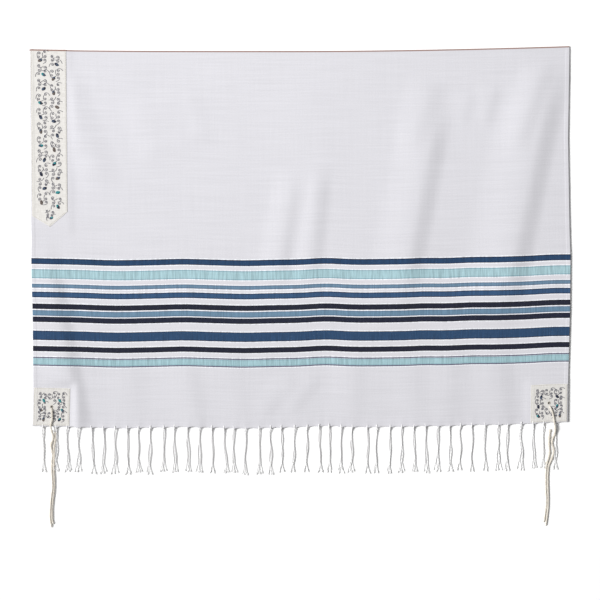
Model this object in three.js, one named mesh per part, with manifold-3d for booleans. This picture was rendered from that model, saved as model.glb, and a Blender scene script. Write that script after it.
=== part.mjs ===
import * as THREE from 'three';
import { mergeVertices } from 'three/addons/utils/BufferGeometryUtils.js';
import Module from 'manifold-3d';

// A tallit prayer shawl, folded in half across its length and laid flat: the fold lies
// along +Y, the two fringed ends lie on each other along -Y, and the neckband runs down
// the left selvage. Lengths are millimetres, +Z is up, and the surface it lies on is Z = 0.

// Driving dimensions of the shawl
const HALF_WIDTH = 552;
const HALF_LENGTH = 770;
const WALL = 1.2;
const SEAM_GAP = 0.3;
const LAYER_GAP = 0.6;
const FRINGE_REACH = 94;
const FRINGE_ROOT = 6;
const CORNER_RISE = 10;
const LEFT_RISE = 3;

// Trims sewn onto the cloth
const TRIM_THICKNESS = 1.0;
const NECKBAND = { left: -550, right: -477, shoulder: 335, slant: 5, tip: 361, tipHalfWidth: 1 };
const SQUARE = { inner: 475.5, outer: 550.5, top: 690, bottom: 767 };
const EYELET_DIAMETER = 5;
const TASSEL_DIAMETER = 3.2;
const TASSEL_SIDES = 8;
const TASSEL_STEP = 7;
const TASSEL_NOTCHES = [
  { from: -516, to: -494 },
  { from: 496, to: 526 },
];

// Where the cloth steps up over the trims beneath it: full height inside, none outside
const TRIM_LIFT = TRIM_THICKNESS + SEAM_GAP;
const LIFT_EDGES = {
  inner: { none: 460, full: 474 },
  neckband: { none: 385, full: 363 },
  square: { none: 672, full: 688 },
};

// Selvages: distance of each from the middle line, at a distance v below the fold
const SELVAGES = [
  { v: 0, left: 552, right: 550 },
  { v: 190, left: 550, right: 547 },
  { v: 380, left: 548, right: 550 },
  { v: 430, left: 548, right: 552 },
  { v: 540, left: 545, right: 551 },
  { v: 690, left: 544, right: 547 },
  { v: 770, left: 546, right: 546 },
];

// The largest soft folds of the upper half. Each runs from (x, v) to (toX, toV); its crest
// stands `height` high, falls over `steep` to the right and over `gentle` to the left.
const FOLDS = [
  { x: -466, v: 46, toX: -388, toV: 250, height: 3, steep: 60, gentle: 60 },
  { x: -310, v: 94, toX: -275, toV: 204, height: 2, steep: 45, gentle: 50 },
  { x: -265, v: 86, toX: -224, toV: 198, height: 2, steep: 45, gentle: 50 },
  { x: -214, v: 86, toX: -184, toV: 182, height: 1.6, steep: 40, gentle: 45 },
  { x: 3, v: 280, toX: -30, toV: 455, height: 3, steep: 40, gentle: 55 },
  { x: 54, v: 280, toX: 30, toV: 455, height: 3, steep: 40, gentle: 50 },
  { x: 289, v: 88, toX: 245, toV: 180, height: 2, steep: 45, gentle: 60 },
  { x: 296, v: 165, toX: 230, toV: 470, height: 5, steep: 44, gentle: 90 },
  { x: 510, v: 50, toX: 455, toV: 186, height: 3, steep: 40, gentle: 60 },
  { x: 534, v: 104, toX: 440, toV: 500, height: 6, steep: 48, gentle: 100 },
  { x: -500, v: 449, toX: -440, toV: 770, height: 4.5, steep: 36, gentle: 70 },
  { x: -218, v: 640, toX: -200, toV: 770, height: 2, steep: 40, gentle: 60 },
  { x: 420, v: 600, toX: 440, toV: 770, height: 2.5, steep: 44, gentle: 60 },
];

// Stations of the cloth's mesh
const BACK_ROWS = [770, 730, 688, 672, 520, 385, 363, 340, 220, 100];
const FRONT_ROWS = [
  24, 62, 104, 146, 188, 230, 272, 314, 363, 385, 425, 465, 505, 545, 585, 625, 655, 672, 688, 730, 770,
];
const EDGE_COLUMNS = [552, 513, 474];
const INNER_CELLS = 34;
const FOLD_ARC_STEPS = 4;

const wasm = await Module();
wasm.setup();

function smoothstep(from, to, value) {
  const t = THREE.MathUtils.clamp((value - from) / (to - from), 0, 1);
  return t * t * (3 - 2 * t);
}

function selvage(side, v) {
  const at = SELVAGES.findIndex((row) => row.v >= v);
  if (at <= 0) return SELVAGES[0][side];
  const above = SELVAGES[at - 1];
  const below = SELVAGES[at];
  return THREE.MathUtils.mapLinear(v, above.v, below.v, above[side], below[side]);
}

// The cloth lies a little askew: its right end, and less its left one, lies further up
function rise(x) {
  if (x > 0) return CORNER_RISE * (x / HALF_WIDTH) ** 1.8;
  return LEFT_RISE * (x / HALF_WIDTH) ** 4;
}

const FOLD_Y = (HALF_LENGTH + FRINGE_REACH - rise(SELVAGES[0].right)) / 2;

// A place on the pattern, x across and v below the fold, as a point of the laid shawl
function place(x, v, z) {
  const side = x < 0 ? 'left' : 'right';
  const across = (x * selvage(side, Math.min(Math.max(v, 0), HALF_LENGTH))) / HALF_WIDTH;
  return new THREE.Vector3(across, FOLD_Y - v + rise(across), z);
}

function trimCover(x, v) {
  const edges = LIFT_EDGES;
  const inward = smoothstep(edges.inner.none, edges.inner.full, Math.abs(x));
  const square = smoothstep(edges.square.none, edges.square.full, v);
  const neckband = x < 0 ? 1 - smoothstep(edges.neckband.full, edges.neckband.none, v) : 0;
  return inward * Math.max(square, neckband);
}

function foldHeight(x, v) {
  let height = 0;
  for (const fold of FOLDS) {
    const length = Math.hypot(fold.toX - fold.x, fold.toV - fold.v);
    const alongX = (fold.toX - fold.x) / length;
    const alongV = (fold.toV - fold.v) / length;
    const along = ((x - fold.x) * alongX + (v - fold.v) * alongV) / length;
    const across = (x - fold.x) * alongV - (v - fold.v) * alongX;
    const crest = -fold.steep / 2;
    const rising = smoothstep(crest - fold.gentle, crest, across);
    const falling = 1 - smoothstep(crest, -crest, across);
    const ends = smoothstep(-0.2, 0.2, along) * (1 - smoothstep(0.85, 1.25, along));
    height += fold.height * Math.min(rising, falling) * ends;
  }
  return height * smoothstep(4, 60, v) * (1 - trimCover(x, v));
}

const undersideZ = (x, v) => TRIM_LIFT * trimCover(x, v);
const topZ = (x, v) => undersideZ(x, v) + 2 * WALL + LAYER_GAP + foldHeight(x, v);

// Closes a wall between two matching grids of points, with its faces pointing out
function wallBetween(outer, inner) {
  const rows = outer.length;
  const columns = outer[0].length;
  const points = [...outer.flat(), ...inner.flat()];
  const outerAt = (r, c) => r * columns + c;
  const innerAt = (r, c) => rows * columns + r * columns + c;
  const faces = [];
  const quad = (a, b, c, d) => faces.push([a, b, c], [a, c, d]);
  for (let r = 0; r < rows - 1; r += 1) {
    for (let c = 0; c < columns - 1; c += 1) {
      quad(outerAt(r, c), outerAt(r, c + 1), outerAt(r + 1, c + 1), outerAt(r + 1, c));
      quad(innerAt(r, c), innerAt(r + 1, c), innerAt(r + 1, c + 1), innerAt(r, c + 1));
    }
    quad(outerAt(r + 1, 0), innerAt(r + 1, 0), innerAt(r, 0), outerAt(r, 0));
    const last = columns - 1;
    quad(outerAt(r, last), innerAt(r, last), innerAt(r + 1, last), outerAt(r + 1, last));
  }
  for (let c = 0; c < columns - 1; c += 1) {
    quad(outerAt(0, c), innerAt(0, c), innerAt(0, c + 1), outerAt(0, c + 1));
    const end = rows - 1;
    quad(outerAt(end, c + 1), innerAt(end, c + 1), innerAt(end, c), outerAt(end, c));
  }
  const volume = faces.reduce(
    (sum, [a, b, c]) => sum + points[a].clone().cross(points[b]).dot(points[c]), 0);
  if (volume < 0) faces.forEach((face) => face.reverse());
  const geometry = new THREE.BufferGeometry();
  const positions = points.flatMap((point) => point.toArray());
  geometry.setAttribute('position', new THREE.Float32BufferAttribute(positions, 3));
  geometry.setIndex(faces.flat());
  return geometry;
}

function toSolid(geometry) {
  const bare = geometry.clone();
  bare.deleteAttribute('normal');
  bare.deleteAttribute('uv');
  const merged = mergeVertices(bare);
  return new wasm.Manifold(new wasm.Mesh({
    numProp: 3,
    vertProperties: new Float32Array(merged.attributes.position.array),
    triVerts: new Uint32Array(merged.index.array),
  }));
}

function fromSolid(solid) {
  const mesh = solid.getMesh();
  const geometry = new THREE.BufferGeometry();
  geometry.setAttribute('position', new THREE.BufferAttribute(mesh.vertProperties, 3));
  geometry.setIndex(new THREE.BufferAttribute(mesh.triVerts, 1));
  geometry.computeVertexNormals();
  return geometry;
}

// Punches the eyelets that the tassels are looped through
function punchEyelets(geometry, sides) {
  let solid = toSolid(geometry);
  const depth = 40;
  for (const side of sides) {
    const middle = (SQUARE.inner + SQUARE.outer) / 2;
    const centre = place(side * middle, (SQUARE.top + SQUARE.bottom) / 2, 0);
    const punch = new THREE.CylinderGeometry(EYELET_DIAMETER / 2, EYELET_DIAMETER / 2, depth, 12);
    punch.rotateX(Math.PI / 2).translate(centre.x, centre.y, 0);
    solid = solid.subtract(toSolid(punch));
  }
  return fromSolid(solid);
}

// A strip that runs up the underside, round the fold and down the top, `out` off the cloth
function foldedRow(columns, v, side, out) {
  return columns.map((x) => {
    const z = side === 'back' ? undersideZ(x, v) - out : topZ(x, v) + out;
    return place(x, v, z);
  });
}

function arcRow(columns, step, out) {
  const angle = (Math.PI * step) / FOLD_ARC_STEPS;
  const outside = WALL + LAYER_GAP / 2;
  const radius = outside + out;
  return columns.map((x) => {
    const z = undersideZ(x, 0) + outside - radius * Math.cos(angle);
    return place(x, outside - radius * Math.sin(angle), z);
  });
}

function foldedGrid(columns, backRows, frontRows, out) {
  const rows = backRows.map((v) => foldedRow(columns, v, 'back', out));
  for (let step = 0; step <= FOLD_ARC_STEPS; step += 1) rows.push(arcRow(columns, step, out));
  frontRows.forEach((v) => rows.push(foldedRow(columns, v, 'front', out)));
  return rows;
}

function shawlCloth() {
  const inner = LIFT_EDGES.inner.none;
  const middle = Array.from(
    { length: INNER_CELLS + 1 }, (_, i) => -inner + (2 * inner * i) / INNER_CELLS);
  const right = [...EDGE_COLUMNS].reverse();
  const columns = [...EDGE_COLUMNS.map((x) => -x), ...middle, ...right];
  const outer = foldedGrid(columns, BACK_ROWS, FRONT_ROWS, 0);
  const inside = foldedGrid(columns, BACK_ROWS, FRONT_ROWS, -WALL);
  return punchEyelets(wallBetween(outer, inside), [-1, 1]);
}

// The neckband: a strip with pointed ends, over the fold
function neckband() {
  const { left, right, shoulder, slant, tip, tipHalfWidth } = NECKBAND;
  const middle = (left + right) / 2;
  const columns = [left, (left + middle) / 2, middle, (middle + right) / 2, right];
  const plain = [40, 110, 180, 250];
  const grid = (out) => {
    const shoulderRow = (side) => columns.map((x) => {
      const v = shoulder - (slant * (x - middle)) / (right - middle);
      return foldedRow([x], v, side, out)[0];
    });
    const narrowed = columns.map((x) => middle + (tipHalfWidth * (x - middle)) / (right - middle));
    const tipRow = (side) => foldedRow(narrowed, tip, side, out);
    const rows = foldedGrid(columns, [...plain].reverse(), plain, out);
    return [tipRow('back'), shoulderRow('back'), ...rows, shoulderRow('front'), tipRow('front')];
  };
  return wallBetween(grid(SEAM_GAP + TRIM_THICKNESS), grid(SEAM_GAP));
}

function cornerSquare(side, layer) {
  const { inner, outer, top, bottom } = SQUARE;
  const columns = [inner, (inner + outer) / 2, outer].map((x) => x * side);
  const rows = [top, (top + bottom) / 2, bottom];
  const grid = (out) => rows.map((v) => foldedRow(columns, v, layer, out));
  return punchEyelets(wallBetween(grid(SEAM_GAP + TRIM_THICKNESS), grid(SEAM_GAP)), [side]);
}

// A fringe as one plain slab of its reach, open where the tassels lie through it
function fringe(bottomZ) {
  const steps = 24;
  const end = HALF_LENGTH + FRINGE_REACH;
  const root = HALF_LENGTH + SEAM_GAP;
  const outline = [];
  for (let i = 0; i <= steps; i += 1) {
    outline.push(place(-HALF_WIDTH + (2 * HALF_WIDTH * i) / steps, root, 0));
  }
  const onEdge = (x, v) => new THREE.Vector3(x, FOLD_Y - v + rise(x), 0);
  const inNotch = (x) => TASSEL_NOTCHES.some((notch) => x > notch.from && x < notch.to);
  const freeEnd = outline.map((point) => onEdge(point.x, end)).filter((point) => !inNotch(point.x));
  for (const { from, to } of TASSEL_NOTCHES) {
    const after = freeEnd.findIndex((point) => point.x > to);
    const notch = [[from, end], [from, root + FRINGE_ROOT], [to, root + FRINGE_ROOT], [to, end]];
    freeEnd.splice(after, 0, ...notch.map(([x, v]) => onEdge(x, v)));
  }
  outline.push(...freeEnd.reverse());
  const shape = new THREE.Shape(outline.map((point) => new THREE.Vector2(point.x, point.y)));
  const slab = new THREE.ExtrudeGeometry(shape, { depth: WALL, bevelEnabled: false });
  return slab.translate(0, 0, bottomZ);
}

// Each tassel's route as [x, y, z], from its eyelet or from the hem to its free end
const TASSEL_ROUTES = {
  tzitzit_front_left: [
    [-506.5, -302, 7.5], [-505.5, -312, 7.5], [-505.2, -324, 7.5], [-507.6, -335, 7.5],
    [-507.6, -343, 7.2], [-505.4, -351, 5.5], [-503.6, -359, 3.2], [-504.4, -367, 1.9],
    [-507.8, -375, 1.65], [-507.6, -384, 1.65], [-505.2, -394, 1.65], [-506, -410, 1.65],
    [-506.6, -426, 1.65], [-505.6, -448, 1.65], [-505.6, -468, 1.65], [-508.4, -490, 1.65],
    [-510, -512, 1.65], [-509.6, -530, 1.65], [-506.8, -545, 1.65],
  ],
  tzitzit_front_right: [
    [509, -298, 7.5], [513.4, -308, 7.5], [516.6, -321, 7.5], [518.8, -334, 7.5],
    [520, -342, 6.8], [520.2, -350, 5], [518.6, -358, 2.9], [515, -367, 1.8],
    [515, -376, 1.65], [517.6, -386, 1.65], [517, -397, 1.65], [512.4, -409, 1.65],
    [508, -420, 1.65], [506.2, -434, 1.65], [506, -452, 1.65], [506.4, -474, 1.65],
    [506.8, -498, 1.65], [504.4, -522, 1.65], [501.8, -541.5, 1.65],
  ],
  tzitzit_back_left: [
    [-499.6, -351, 1.65], [-499.2, -360, 1.65], [-499.6, -370, 1.65], [-501.6, -380, 1.65],
    [-501.4, -394, 1.65], [-502, -410, 1.65], [-502.6, -426, 1.65], [-501.6, -448, 1.65],
    [-501.6, -468, 1.65], [-504.4, -490, 1.65], [-506, -512, 1.65], [-505.6, -530, 1.65],
    [-503.4, -539, 1.65],
  ],
  tzitzit_back_right: [
    [511, -345, 1.65], [509.4, -356, 1.65], [508.4, -368, 1.65], [508.6, -380, 1.65],
    [509.4, -392, 1.65], [507.4, -404, 1.65], [503.6, -416, 1.65], [502.2, -432, 1.65],
    [502, -452, 1.65], [502.4, -474, 1.65], [502.8, -498, 1.65], [500.4, -520, 1.65],
    [498, -534, 1.65],
  ],
};

function tassel(route) {
  const path = new THREE.CatmullRomCurve3(route.map((point) => new THREE.Vector3(...point)));
  const section = new THREE.Shape();
  const radius = TASSEL_DIAMETER / 2;
  for (let i = 0; i < TASSEL_SIDES; i += 1) {
    const angle = (2 * Math.PI * i) / TASSEL_SIDES;
    const corner = [radius * Math.cos(angle), radius * Math.sin(angle)];
    if (i === 0) section.moveTo(...corner);
    else section.lineTo(...corner);
  }
  const steps = Math.ceil(path.getLength() / TASSEL_STEP);
  return new THREE.ExtrudeGeometry(section, { steps, extrudePath: path, bevelEnabled: false });
}

const wovenCloth = { color: '#e4e4e9', roughness: 0.9, metalness: 0 };
const ivoryLinen = { color: '#efece4', roughness: 0.85, metalness: 0 };
const twistedYarn = { color: '#eeece8', roughness: 0.95, metalness: 0 };
const tasselYarn = { color: '#e9e4d8', roughness: 0.9, metalness: 0 };

const shawl = new THREE.Group();

function add(name, geometry, finish) {
  const mesh = new THREE.Mesh(geometry, new THREE.MeshStandardMaterial(finish));
  mesh.name = name;
  shawl.add(mesh);
}

add('shawl_cloth', shawlCloth(), wovenCloth);
add('neckband', neckband(), ivoryLinen);
for (const layer of ['front', 'back']) {
  add(`corner_${layer}_left`, cornerSquare(-1, layer), ivoryLinen);
  add(`corner_${layer}_right`, cornerSquare(1, layer), ivoryLinen);
}
add('fringe_back', fringe(0), twistedYarn);
add('fringe_front', fringe(WALL + SEAM_GAP), twistedYarn);
for (const [name, route] of Object.entries(TASSEL_ROUTES)) add(name, tassel(route), tasselYarn);

export default shawl;
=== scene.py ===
"""A tallit prayer shawl, folded in half across its length and laid flat.

Sizes are in millimetres until place() and MM turn them into the frame's metres. On the
cut cloth, x runs across from the middle line and v runs down from the fold; v is
negative on the half that lies beneath.
"""
import math
import random
from collections import namedtuple

import bmesh
import bpy
import numpy as np
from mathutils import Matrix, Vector


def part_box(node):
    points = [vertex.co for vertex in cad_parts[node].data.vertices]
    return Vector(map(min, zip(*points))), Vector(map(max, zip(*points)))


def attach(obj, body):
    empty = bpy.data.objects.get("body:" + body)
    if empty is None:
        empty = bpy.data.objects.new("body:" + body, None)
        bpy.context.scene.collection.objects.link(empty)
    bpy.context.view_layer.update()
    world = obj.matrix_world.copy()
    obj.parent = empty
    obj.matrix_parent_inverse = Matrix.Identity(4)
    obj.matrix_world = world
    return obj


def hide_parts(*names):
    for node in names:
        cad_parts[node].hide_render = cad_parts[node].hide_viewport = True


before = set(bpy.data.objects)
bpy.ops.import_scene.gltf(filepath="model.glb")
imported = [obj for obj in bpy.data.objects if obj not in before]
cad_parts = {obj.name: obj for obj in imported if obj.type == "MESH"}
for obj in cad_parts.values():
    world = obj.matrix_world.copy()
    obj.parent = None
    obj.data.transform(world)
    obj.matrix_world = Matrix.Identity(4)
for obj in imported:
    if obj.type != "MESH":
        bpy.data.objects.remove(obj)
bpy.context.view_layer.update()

MM = 0.001

# ---------------------------------------------------------------- sizes of the shawl

CLOTH_LOW, CLOTH_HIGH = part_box("shawl_cloth")
FRINGE_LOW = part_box("fringe_front")[0]
HALF_WIDTH = -CLOTH_LOW.x / MM
CORNER_RISE = 10.0
LEFT_RISE = 3.0
RIGHT_AT_FOLD = 550.0


def rise(x):
    """How far the askew cloth lies further up, at x from the middle line."""
    share = np.abs(np.asarray(x, float)) / HALF_WIDTH
    return np.where(np.asarray(x) > 0, CORNER_RISE * share**1.8, LEFT_RISE * share**4)


FOLD_Y = CLOTH_HIGH.y / MM - float(rise(RIGHT_AT_FOLD))
HALF_LENGTH = FOLD_Y - CLOTH_LOW.y / MM
FRINGE_REACH = (CLOTH_LOW.y - FRINGE_LOW.y) / MM

# Each half of the folded solid is a wall this thick, with this gap between the two
WALL = 1.2
LAYER_GAP = 0.6
TRIM_LIFT = 1.3
STACK = 2 * WALL + LAYER_GAP
CLOTH_THICKNESS = 0.8
TRIM_THICKNESS = 0.42

NECKBAND = dict(left=-550.0, right=-477.0, shoulder=335.0, slant=5.0, tip=361.0)
SQUARE = dict(inner=475.5, outer=550.5, top=690.0, bottom=767.0)
EYELET_RADIUS = 1.9

Selvage = namedtuple("Selvage", "v left right")
SELVAGES = [
    Selvage(0, 552, 550),
    Selvage(190, 550, 547),
    Selvage(380, 548, 550),
    Selvage(430, 548, 552),
    Selvage(540, 545, 551),
    Selvage(690, 544, 547),
    Selvage(770, 546, 546),
]

# Soft folds from (x, v) to (to_x, to_v): the crest stands `height` high, falls over
# `steep` to the right and over `gentle` to the left.
Fold = namedtuple("Fold", "x v to_x to_v height steep gentle")
FOLDS = [
    Fold(-466, 46, -388, 250, 3.2, 56, 60),
    Fold(-310, 94, -275, 204, 1.8, 45, 50),
    Fold(-265, 86, -224, 198, 1.6, 45, 50),
    Fold(-214, 86, -184, 182, 1.2, 40, 45),
    Fold(3, 270, -30, 455, 3.4, 36, 50),
    Fold(54, 262, 34, 455, 3.6, 34, 46),
    Fold(289, 80, 245, 190, 2.2, 40, 60),
    Fold(296, 150, 230, 480, 5.2, 42, 80),
    Fold(360, 96, 345, 150, 1.2, 26, 40),
    Fold(408, 84, 391, 150, 1.4, 26, 40),
    Fold(514, 40, 458, 196, 2.4, 34, 50),
    Fold(534, 84, 440, 500, 6.4, 46, 100),
    Fold(-504, 440, -440, 775, 6.2, 34, 84),
    Fold(-218, 640, -200, 775, 1.8, 36, 60),
    Fold(-7, 676, -66, 742, 1.2, 26, 40),
    Fold(41, 678, -10, 736, 1.2, 26, 40),
    Fold(128, 610, 120, 770, 1.4, 40, 60),
    Fold(250, 640, 256, 770, 1.2, 40, 60),
    Fold(330, 600, 318, 770, 1.4, 44, 60),
    Fold(420, 600, 440, 775, 2.2, 40, 60),
    Fold(-330, 610, -322, 770, 1.2, 44, 60),
    Fold(-120, 600, -112, 770, 1.0, 40, 60),
]

# Where the woven stripes ride up or down across the width, as soft waves
Sway = namedtuple("Sway", "x up reach")
SWAYS = [
    Sway(-375, -2.0, 62),
    Sway(-237, 1.3, 40),
    Sway(-112, -1.6, 52),
    Sway(52, 3.0, 44),
    Sway(253, 0.9, 28),
    Sway(351, 0.9, 34),
    Sway(515, 1.4, 42),
]

# Press creases right across, at v, from when the shawl lay folded smaller
CREASES = [67.0, 286.0, 377.0]

HEM_WIDTH = 8.0
STRAND_PITCH = 24.6
STRAND_COUNT = 44


# ---------------------------------------------------------------- the shape of the lay

def smooth(low, high, value):
    t = np.clip((np.asarray(value, float) - low) / (high - low), 0.0, 1.0)
    return t * t * (3 - 2 * t)


def selvage(x, v):
    """Half the width at v, on the side that x is on."""
    at = np.clip(np.abs(v), 0, HALF_LENGTH)
    rows = [row.v for row in SELVAGES]
    left = np.interp(at, rows, [row.left for row in SELVAGES])
    right = np.interp(at, rows, [row.right for row in SELVAGES])
    return np.where(np.asarray(x) < 0, left, right)


def sway(x, v):
    up = sum(wave.up * np.exp(-(((x - wave.x) / wave.reach) ** 2)) for wave in SWAYS)
    return up * smooth(10, 240, np.abs(v))


def place(x, v, z):
    """Points of the laid shawl in metres, from places on the cut and a height."""
    x, v, z = np.broadcast_arrays(np.asarray(x, float), v, z)
    across = x * selvage(x, v) / HALF_WIDTH
    along = FOLD_Y - v + rise(across) + sway(across, v)
    return np.stack([across, along, z], axis=-1) * MM


def trim_cover(x, v):
    """1 where a trim lies under the cloth, 0 where the cloth lies on the surface."""
    inward = smooth(460, 474, np.abs(x))
    square = smooth(672, 688, np.abs(v))
    neckband = np.where(np.asarray(x) < 0, 1 - smooth(363, 385, np.abs(v)), 0)
    return inward * np.maximum(square, neckband)


def fold_height(x, v):
    height = np.zeros(np.broadcast(x, v).shape)
    for fold in FOLDS:
        length = math.hypot(fold.to_x - fold.x, fold.to_v - fold.v)
        along_x = (fold.to_x - fold.x) / length
        along_v = (fold.to_v - fold.v) / length
        along = ((x - fold.x) * along_x + (v - fold.v) * along_v) / length
        across = (x - fold.x) * along_v - (v - fold.v) * along_x
        crest = -fold.steep / 2
        rising = smooth(crest - fold.gentle, crest, across)
        falling = 1 - smooth(crest, -crest, across)
        ends = smooth(-0.2, 0.2, along) * (1 - smooth(0.85, 1.25, along))
        height += fold.height * np.minimum(rising, falling) * ends
    return height * smooth(4, 60, v)


def ripple(x, v):
    """The faint unevenness of a cloth that has hung and been smoothed by hand."""
    wide = np.sin(x / 31 + 0.9 * np.sin(v / 120)) * np.sin(v / 150 + 0.6)
    slow = np.sin(x / 67 - v / 210 + 1.3)
    close = np.sin(x / 17 + 1.7 * np.sin(v / 90 + x / 140)) * smooth(560, 740, v)
    return 0.35 + 0.28 * wide + 0.42 * slow + 0.16 * close


def press_creases(v):
    return sum(0.55 * np.exp(-np.abs(np.abs(v) - crease) / 5) for crease in CREASES)


def side_hems(x):
    """The selvages are turned over once and stitched down."""
    from_edge = HALF_WIDTH - np.abs(x)
    turned = 0.45 * (1 - smooth(HEM_WIDTH - 0.7, HEM_WIDTH, from_edge))
    stitched = -0.35 * np.exp(-(((from_edge - HEM_WIDTH + 1.4) / 0.6) ** 2))
    return turned + stitched


def strand_places():
    """Where the front end's fringe strands leave the hem."""
    draw = random.Random(18)
    first = -STRAND_PITCH * (STRAND_COUNT - 1) / 2
    return [first + STRAND_PITCH * i + draw.uniform(-3.2, 3.2) for i in range(STRAND_COUNT)]


STRANDS = strand_places()


def hem_pucker(x, v):
    """The hem is gathered a little into each strand's root."""
    near = np.zeros(np.broadcast(x, v).shape)
    for root in STRANDS:
        near += np.exp(-(((x - root) / 5.0) ** 2))
    return 0.7 * near * smooth(HALF_LENGTH - 26, HALF_LENGTH, v)


def hem_scallop(x, v):
    """How far the hem draws back between the strands that pull it down."""
    pulled = np.zeros(np.broadcast(x, v).shape)
    for root in STRANDS:
        pulled = np.maximum(pulled, np.exp(-(((x - root) / 6.5) ** 2)))
    return 2.2 * (1 - pulled) * smooth(HALF_LENGTH - 18, HALF_LENGTH, v)


def underside(x, v):
    return TRIM_LIFT * trim_cover(x, v)


def relief(x, v):
    """How far the upper half stands above its plain lay."""
    plain = 1 - trim_cover(x, v)
    raised = (fold_height(x, v) + hem_pucker(x, v)) * plain + press_creases(v)
    raised = raised + ripple(x, v) * (0.25 + 0.75 * plain)
    return raised * smooth(2, 40, v) + side_hems(x) * smooth(0, 8, v)


def lay(x, v, out=0.0):
    """Points of the laid shawl, in metres, `out` off the cloth's outer face: over the
    upper half, round the fold, and beneath the lower half."""
    x, v, out = np.broadcast_arrays(np.asarray(x, float), v, out)
    half = STACK / 2
    turn = np.arccos(np.clip(1 - np.abs(v) / half, 0, 1)) * np.sign(v)
    below = np.maximum(np.abs(v) - half, 0) + half - (half + out) * np.cos(turn)
    z = underside(x, below) + half + (half + out) * np.sin(turn)
    return place(x, below, z + np.where(v > 0, relief(x, np.abs(v)), 0))


# ---------------------------------------------------------------- mesh and node helpers

def link_piece(name, mesh, material):
    piece = bpy.data.objects.new(name, mesh)
    bpy.context.scene.collection.objects.link(piece)
    for finish in material if isinstance(material, list) else [material]:
        mesh.materials.append(finish)
    return piece


def wall_piece(name, outer, inner, cut, material):
    """A closed wall between two matching grids of points. cut is each grid point's place
    on the cloth, which the weave and stripes read as a UV map."""
    rows, columns = outer.shape[:2]
    count = rows * columns
    index = np.arange(count).reshape(rows, columns)
    a, b, c, d = index[:-1, :-1], index[:-1, 1:], index[1:, 1:], index[1:, :-1]
    sheet = np.stack([a, b, c, d], axis=-1).reshape(-1, 4)
    rim = np.concatenate([index[0], index[1:, -1], index[-1, -2::-1], index[-2:0:-1, 0]])
    after = np.roll(rim, -1)
    edge = np.stack([rim, rim + count, after + count, after], axis=-1)
    faces = np.concatenate([sheet, sheet[:, ::-1] + count, edge])
    points = np.concatenate([outer.reshape(-1, 3), inner.reshape(-1, 3)])
    corners = points[faces[:, :3]]
    volume = np.einsum("ij,ij->i", corners[:, 0], np.cross(corners[:, 1], corners[:, 2])).sum()
    if volume < 0:
        faces = faces[:, ::-1]
    mesh = bpy.data.meshes.new(name)
    mesh.from_pydata(points.tolist(), [], faces.tolist())
    layer = mesh.uv_layers.new(name="cut")
    places = np.concatenate([cut.reshape(-1, 2)] * 2) * MM
    layer.data.foreach_set("uv", places[faces.ravel()].ravel())
    mesh.shade_smooth()
    return link_piece(name, mesh, material)


class Threads:
    """Gathers yarns and stitches, as closed tubes, into one mesh."""

    def __init__(self):
        self.points, self.faces, self.along, self.finishes = [], [], [], []

    def tube(self, path, radius, sides=6, finish=0):
        """A yarn along a path in millimetres, round or tapering, with closed ends."""
        path = np.asarray(path, float)
        radii = np.broadcast_to(np.asarray(radius, float), len(path))
        ahead = np.gradient(path, axis=0)
        ahead /= np.linalg.norm(ahead, axis=1, keepdims=True)
        steps = np.linalg.norm(np.diff(path, axis=0), axis=1)
        length = np.concatenate([[0], np.cumsum(steps)])
        side = np.cross(ahead[0], [0.12, 0.31, 0.94])
        angles = 2 * math.pi * np.arange(sides) / sides
        base = sum(len(ring) for ring in self.points)
        rings = []
        for centre, forward, thick in zip(path, ahead, radii):
            side = side - forward * side.dot(forward)
            side /= np.linalg.norm(side)
            up = np.cross(forward, side)
            rings.append(centre + thick * (np.outer(np.cos(angles), side)
                                           + np.outer(np.sin(angles), up)))
        self.points.append(np.concatenate(rings))
        for k in range(len(path) - 1):
            for i in range(sides):
                j = (i + 1) % sides
                low, high = base + k * sides, base + (k + 1) * sides
                self.faces.append((low + i, low + j, high + j, high + i))
                turns = (i / sides, (i + 1) / sides)
                self.along.append([(turns[0], length[k]), (turns[1], length[k]),
                                   (turns[1], length[k + 1]), (turns[0], length[k + 1])])
                self.finishes.append(finish)
        for ring, order, at in ((0, -1, 0), (len(path) - 1, 1, -1)):
            start = base + ring * sides
            self.faces.append(tuple(start + i for i in range(sides))[::order])
            self.along.append([(0.5, length[at])] * sides)
            self.finishes.append(finish)

    def bead(self, centre, ahead, long, thick, sides=7, rings=5, finish=0):
        """A knot or berry: a rounded bead along a direction."""
        t = np.linspace(-1, 1, rings + 2)
        path = np.asarray(centre, float) + np.outer(t * long, ahead)
        self.tube(path, thick * np.sqrt(np.maximum(1 - t**2, 0.02)), sides, finish)

    def piece(self, name, material):
        mesh = bpy.data.meshes.new(name)
        mesh.from_pydata((np.concatenate(self.points) * MM).tolist(), [], self.faces)
        layer = mesh.uv_layers.new(name="yarn")
        layer.data.foreach_set("uv", np.array([u for face in self.along for u in face]).ravel())
        mesh.polygons.foreach_set("material_index", self.finishes)
        mesh.shade_smooth()
        return link_piece(name, mesh, material)


def linear(colour, alpha=1.0):
    """An sRGB hex colour as linear red, green, blue and alpha."""
    parts = [int(colour[i:i + 2], 16) / 255 for i in (1, 3, 5)]
    parts = [p / 12.92 if p <= 0.04045 else ((p + 0.055) / 1.055) ** 2.4 for p in parts]
    return (*parts, alpha)


# A colour Mix node's sockets: its share, its two colours and its result
MIX_SHARE, MIX_A, MIX_B, MIX_COLOUR = 0, 6, 7, 2


def add_node(tree, kind, inputs=None, **settings):
    """Adds a shader node with its settings, and sets or links each of its inputs."""
    made = tree.nodes.new("ShaderNode" + kind)
    for name, value in settings.items():
        setattr(made, name, value)
    for key, value in (inputs or {}).items():
        if isinstance(value, bpy.types.NodeSocket):
            tree.links.new(value, made.inputs[key])
        else:
            made.inputs[key].default_value = value
    return made


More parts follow.
